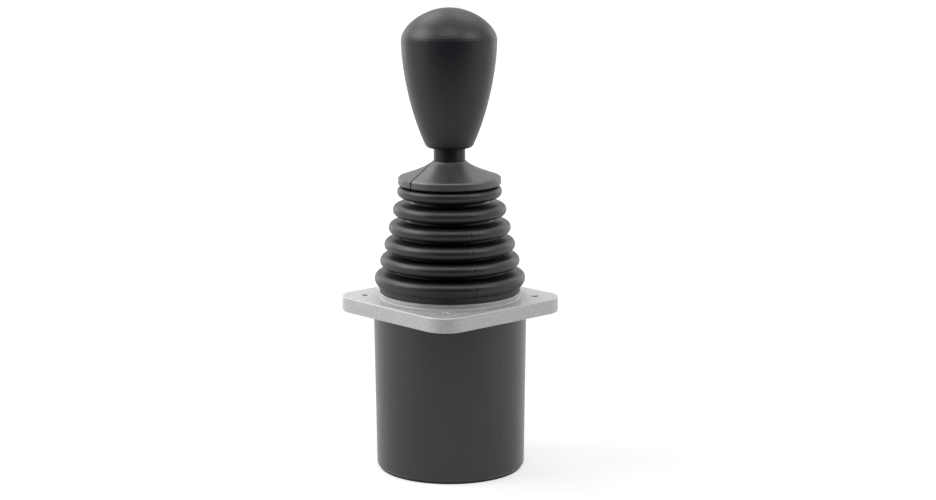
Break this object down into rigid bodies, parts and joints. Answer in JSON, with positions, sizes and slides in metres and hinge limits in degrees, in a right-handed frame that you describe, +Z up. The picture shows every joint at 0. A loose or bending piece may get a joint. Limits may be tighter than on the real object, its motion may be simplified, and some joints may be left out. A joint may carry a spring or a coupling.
{
  "type": "industrial joystick",
  "caption": "Two-axis panel joystick: bulb knob on a spring-centred gimbal lever, with a bellows boot, a square mounting flange and a round housing pot below.",
  "frame": {"origin": "centre of the bottom plate's lower face, on the lever's axis", "axes": "+Z up along the upright lever; the flange's sides lie along X and Y; the outer end of the slit in the boot cap faces -Y"},
  "size_m": [0.08, 0.08, 0.22],
  "materials": {
    "flange_aluminium": "bead-blasted and clear anodised, satin",
    "pot_plastic": "moulded black plastic, satin",
    "boot_rubber": "moulded black rubber, matt with a soft sheen",
    "plate_plastic": "moulded black plastic, matt",
    "gasket_rubber": "matt",
    "cap_plastic": "moulded black plastic, satin",
    "sleeve_plastic": "turned black plastic, satin",
    "knob_plastic": "moulded black thermoplastic, fine eroded texture, satin",
    "insert_brass": "turned",
    "steel": "turned or stamped steel, zinc plated",
    "spring_steel": "drawn spring wire",
    "clip_steel": "phosphated spring steel",
    "frame_alloy": "die cast, tumbled",
    "bearing_bronze": "sintered bronze",
    "spacer_nylon": "moulded nylon",
    "board_laminate": "solder-masked glass epoxy",
    "chip_epoxy": "moulded epoxy",
    "standoff_brass": "turned hexagon brass, nickel free",
    "connector_nickel": "nickel-plated brass",
    "insert_plastic": "moulded black plastic",
    "wire_insulation": "extruded insulation",
    "magnet_nickel": "nickel-plated magnet"
  },
  "bodies": {
    "base": {"mounting_flange": "flange_aluminium", "housing_pot": "pot_plastic", "bottom_plate": "plate_plastic", "pot_gasket": "gasket_rubber", "boot": "boot_rubber", "boot_clamp_ring": "frame_alloy", "clamp_screws": "steel", "gimbal_frame": "frame_alloy", "frame_screws": "steel", "x_bushes": "bearing_bronze", "x_spring": "spring_steel", "travel_gate": "steel", "upper_standoffs": "standoff_brass", "sensor_board": "board_laminate", "hall_sensor": "chip_epoxy", "board_chips": "chip_epoxy", "wire_header": "spacer_nylon", "signal_wires": "wire_insulation", "lower_standoffs": "standoff_brass", "plate_screws": "steel", "connector_shell": "connector_nickel", "connector_nut": "connector_nickel", "connector_insert": "insert_plastic"},
    "gimbal": {"gimbal_ring": "frame_alloy", "x_pins": "steel", "x_spacer": "spacer_nylon", "y_bushes": "bearing_bronze", "y_spring": "spring_steel"},
    "lever": {"pivot_block": "steel", "y_pin": "steel", "y_spacer": "spacer_nylon", "pin_clips": "clip_steel", "lever_shaft": "steel", "magnet_holder": "spacer_nylon", "magnet": "magnet_nickel", "neck_sleeve": "sleeve_plastic", "boot_washer": "steel", "boot_cap": "cap_plastic", "knob_insert": "insert_brass", "knob": "knob_plastic"}
  },
  "joints": [
    {"name": "tilt_x", "type": "hinge", "parent": "base", "child": "gimbal", "pos_m": [0, 0, 0.057], "axis": [1, 0, 0], "range_deg": [-18, 18], "stiffness_Nm_per_rad": 3, "deforming": ["x_spring", "boot"]},
    {"name": "tilt_y", "type": "hinge", "parent": "gimbal", "child": "lever", "pos_m": [0, 0, 0.057], "axis": [0, 1, 0], "range_deg": [-18, 18], "stiffness_Nm_per_rad": 3, "deforming": ["y_spring", "boot"]}
  ]
}
